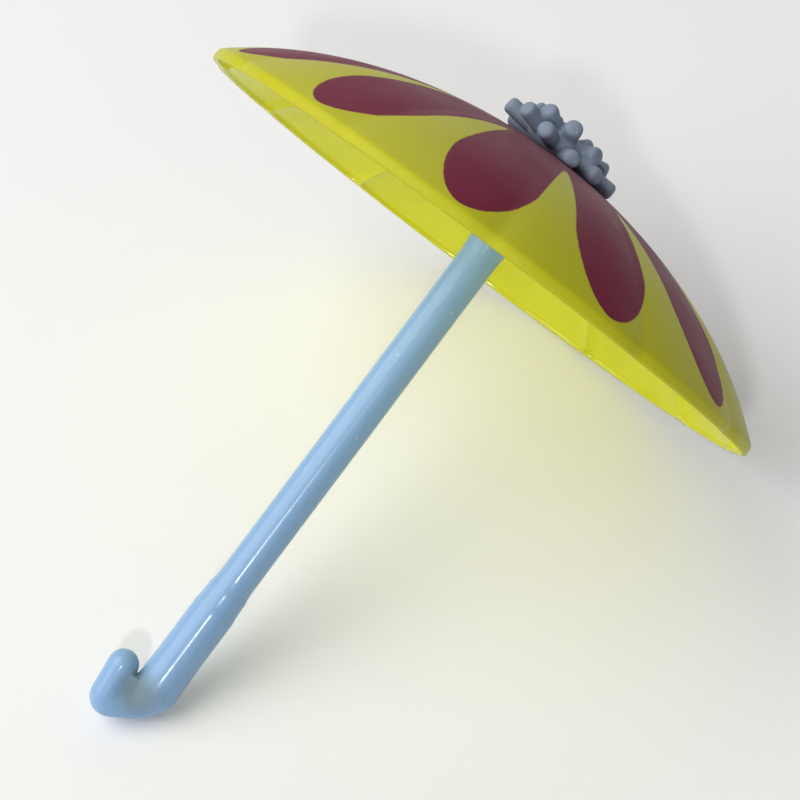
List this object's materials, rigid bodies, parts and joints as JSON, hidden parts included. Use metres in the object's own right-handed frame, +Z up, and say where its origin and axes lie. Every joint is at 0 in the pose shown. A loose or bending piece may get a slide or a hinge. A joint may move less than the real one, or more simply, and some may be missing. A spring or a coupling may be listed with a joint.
{
  "type": "doll parasol",
  "caption": "Small moulded toy parasol with a shallow dome canopy that twirls on its shaft, a flower finial and a hooked handle, lying on a table.",
  "frame": {"origin": "bottom centre of the bounding box, on the table that the parasol lies on", "axes": "+Z up from the table; +X along the table from the hook to the canopy; the shaft climbs from the hook towards the finial in the X-Z plane; +Y the side that the hook lies on"},
  "size_m": [0.1096, 0.102, 0.09],
  "materials": {
    "canopy_plastic": "glossy translucent yellow moulding with printed dark red petals",
    "shaft_plastic": "semi-gloss pale blue moulding",
    "handle_plastic": "semi-gloss pale blue moulding",
    "flower_plastic": "matt grey-blue soft moulding"
  },
  "bodies": {
    "stick": {"shaft": "shaft_plastic", "handle": "handle_plastic", "flower_finial": "flower_plastic"},
    "canopy": {"canopy": "canopy_plastic"}
  },
  "joints": [
    {"name": "canopy_twirl", "type": "hinge", "parent": "stick", "child": "canopy", "pos_m": [0.03632, 0, 0.0497], "axis": [0.8747, 0, 0.4846], "continuous": true}
  ]
}
